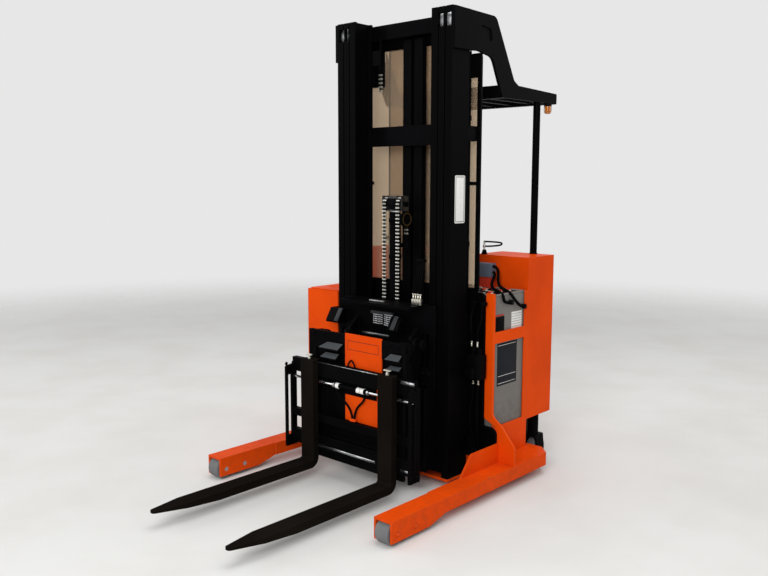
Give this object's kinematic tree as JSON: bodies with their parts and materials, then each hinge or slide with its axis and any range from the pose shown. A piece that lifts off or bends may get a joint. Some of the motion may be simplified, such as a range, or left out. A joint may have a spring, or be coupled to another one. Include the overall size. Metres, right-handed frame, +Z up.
{
  "type": "straddle reach truck",
  "caption": "Stand-up straddle reach truck with a nested mast, pantograph reach linkage, side-shifting forks, straddle legs and an overhead guard.",
  "frame": {"origin": "on the floor, under the middle of the truck's overall length and width", "axes": "+Z up, forks point along -Y, +X is the side with the battery opening"},
  "size_m": [1.322, 2.279, 2.428],
  "materials": {
    "amber_lens": "gloss",
    "bare_steel": "machined",
    "black_paint": "satin",
    "black_plastic": "matte",
    "black_rubber": "satin",
    "drive_rubber": "matte",
    "grey_paint": "satin",
    "grey_plastic": "satin",
    "orange_paint": "satin",
    "pad_vinyl": "satin",
    "rail_steel": "worn satin",
    "rod_chrome": "polished",
    "roller_steel": "polished",
    "tinted_screen": "satin",
    "wheel_polyurethane": "satin"
  },
  "bodies": {
    "chassis": {"backrest_pad": "pad_vinyl", "base_frame": "orange_paint", "battery": "grey_paint", "battery_cable_lower": "black_rubber", "battery_cable_upper": "black_rubber", "battery_connector": "grey_plastic", "battery_side_frame": "orange_paint", "battery_terminals": "black_plastic", "compartment_wall": "orange_paint", "control_console": "black_plastic", "leg_left": "orange_paint", "leg_right": "orange_paint", "lift_cylinder_barrels": "black_paint", "load_wheel_axles": "bare_steel", "mast_guard_frame": "black_paint", "mast_guard_panel": "tinted_screen", "mast_hose_guides": "black_paint", "mast_mounting_plate": "black_paint", "operator_controls": "black_plastic", "operator_floor": "orange_paint", "outer_cross_ties": "black_paint", "outer_mast_rollers": "roller_steel", "outer_rails": "rail_steel", "overhead_guard": "black_paint", "pump_compartment": "orange_paint", "side_pods": "orange_paint", "spindle_shelves": "black_paint", "warning_lamp": "amber_lens"},
    "middle_mast": {"middle_rails": "rail_steel", "middle_cross_ties": "black_paint", "lift_cylinder_rods": "rod_chrome", "middle_mast_rollers": "roller_steel"},
    "inner_mast": {"inner_rails": "rail_steel", "inner_cross_ties": "black_paint", "free_lift_barrel": "black_paint", "inner_mast_rollers": "roller_steel"},
    "crosshead": {"free_lift_crosshead": "black_paint", "chain_sheaves": "roller_steel"},
    "mast_carriage": {"mast_carriage": "black_paint", "carriage_rollers": "roller_steel", "carriage_plates": "black_paint"},
    "outer_arms": {"outer_scissor_arms": "black_paint"},
    "inner_arms": {"inner_scissor_arms": "black_paint"},
    "reach_frame": {"reach_frame": "black_paint", "reach_frame_plate": "orange_paint", "sideshift_hose_left": "black_rubber", "sideshift_hose_right": "black_rubber"},
    "fork_carriage": {"fork_carriage": "black_paint", "sideshift_rod": "rod_chrome"},
    "fork_right": {"fork_right": "black_paint"},
    "fork_left": {"fork_left": "black_paint"},
    "load_wheel_right_front": {"load_wheel_right_front": "wheel_polyurethane"},
    "load_wheel_right_rear": {"load_wheel_right_rear": "wheel_polyurethane"},
    "load_wheel_left_front": {"load_wheel_left_front": "wheel_polyurethane"},
    "load_wheel_left_rear": {"load_wheel_left_rear": "wheel_polyurethane"},
    "drive_knuckle": {"drive_knuckle": "black_paint"},
    "drive_wheel": {"drive_wheel": "drive_rubber"},
    "caster_fork": {"caster_fork": "black_paint"},
    "caster_wheel": {"caster_wheel": "wheel_polyurethane"},
    "steering_wheel": {"steering_wheel": "black_plastic"}
  },
  "joints": [
    {"name": "mast_lift", "type": "slide", "parent": "chassis", "child": "middle_mast", "axis": [0, 0, 1], "range_m": [0, 1.55]},
    {"name": "inner_lift", "type": "slide", "parent": "middle_mast", "child": "inner_mast", "axis": [0, 0, 1], "range_m": [0, 1.55]},
    {"name": "carriage_lift", "type": "slide", "parent": "inner_mast", "child": "mast_carriage", "axis": [0, 0, 1], "range_m": [0, 1.1]},
    {"name": "crosshead_lift", "type": "slide", "parent": "inner_mast", "child": "crosshead", "axis": [0, 0, 1], "range_m": [0, 0.55]},
    {"name": "reach_swing", "type": "hinge", "parent": "mast_carriage", "child": "outer_arms", "pos_m": [0, 0.1145, 0.75], "axis": [-1, 0, 0], "range_deg": [0, 50]},
    {"name": "scissor_centre", "type": "hinge", "parent": "outer_arms", "child": "inner_arms", "pos_m": [0, 0.03708, 0.4395], "axis": [-1, 0, 0], "range_deg": [-100, 0]},
    {"name": "reach_frame_pin", "type": "hinge", "parent": "inner_arms", "child": "reach_frame", "pos_m": [0, -0.04033, 0.75], "axis": [-1, 0, 0], "range_deg": [0, 50]},
    {"name": "sideshift", "type": "slide", "parent": "reach_frame", "child": "fork_carriage", "axis": [1, 0, 0], "range_m": [-0.075, 0.075]},
    {"name": "fork_right_adjust", "type": "slide", "parent": "fork_carriage", "child": "fork_right", "axis": [1, 0, 0], "range_m": [-0.15, 0.1]},
    {"name": "fork_left_adjust", "type": "slide", "parent": "fork_carriage", "child": "fork_left", "axis": [-1, 0, 0], "range_m": [-0.15, 0.1]},
    {"name": "load_wheel_right_front_spin", "type": "hinge", "parent": "chassis", "child": "load_wheel_right_front", "pos_m": [0.6085, -0.5085, 0.055], "axis": [1, 0, 0], "continuous": true},
    {"name": "load_wheel_right_rear_spin", "type": "hinge", "parent": "chassis", "child": "load_wheel_right_rear", "pos_m": [0.6085, -0.3855, 0.055], "axis": [1, 0, 0], "continuous": true},
    {"name": "load_wheel_left_front_spin", "type": "hinge", "parent": "chassis", "child": "load_wheel_left_front", "pos_m": [-0.6085, -0.5085, 0.055], "axis": [1, 0, 0], "continuous": true},
    {"name": "load_wheel_left_rear_spin", "type": "hinge", "parent": "chassis", "child": "load_wheel_left_rear", "pos_m": [-0.6085, -0.3855, 0.055], "axis": [1, 0, 0], "continuous": true},
    {"name": "drive_steer", "type": "hinge", "parent": "chassis", "child": "drive_knuckle", "pos_m": [-0.495, 0.9175, 0.115], "axis": [0, 0, 1], "range_deg": [-90, 90]},
    {"name": "drive_wheel_spin", "type": "hinge", "parent": "drive_knuckle", "child": "drive_wheel", "pos_m": [-0.495, 0.9175, 0.115], "axis": [1, 0, 0], "continuous": true},
    {"name": "caster_swivel", "type": "hinge", "parent": "chassis", "child": "caster_fork", "pos_m": [0.466, 0.8885, 0.062], "axis": [0, 0, 1], "continuous": true},
    {"name": "caster_wheel_spin", "type": "hinge", "parent": "caster_fork", "child": "caster_wheel", "pos_m": [0.466, 0.9165, 0.062], "axis": [1, 0, 0], "continuous": true},
    {"name": "steering_wheel_turn", "type": "hinge", "parent": "chassis", "child": "steering_wheel", "pos_m": [-0.508, 0.8665, 1.228], "axis": [0, 0, 1], "range_deg": [-270, 270]}
  ],
  "couplings": [
    {"joint": "inner_lift", "follows": "mast_lift", "ratio": 1},
    {"joint": "crosshead_lift", "follows": "carriage_lift", "ratio": 0.5},
    {"joint": "scissor_centre", "follows": "reach_swing", "ratio": -2},
    {"joint": "reach_frame_pin", "follows": "reach_swing", "ratio": 1},
    {"joint": "steering_wheel_turn", "follows": "drive_steer", "ratio": 3}
  ]
}
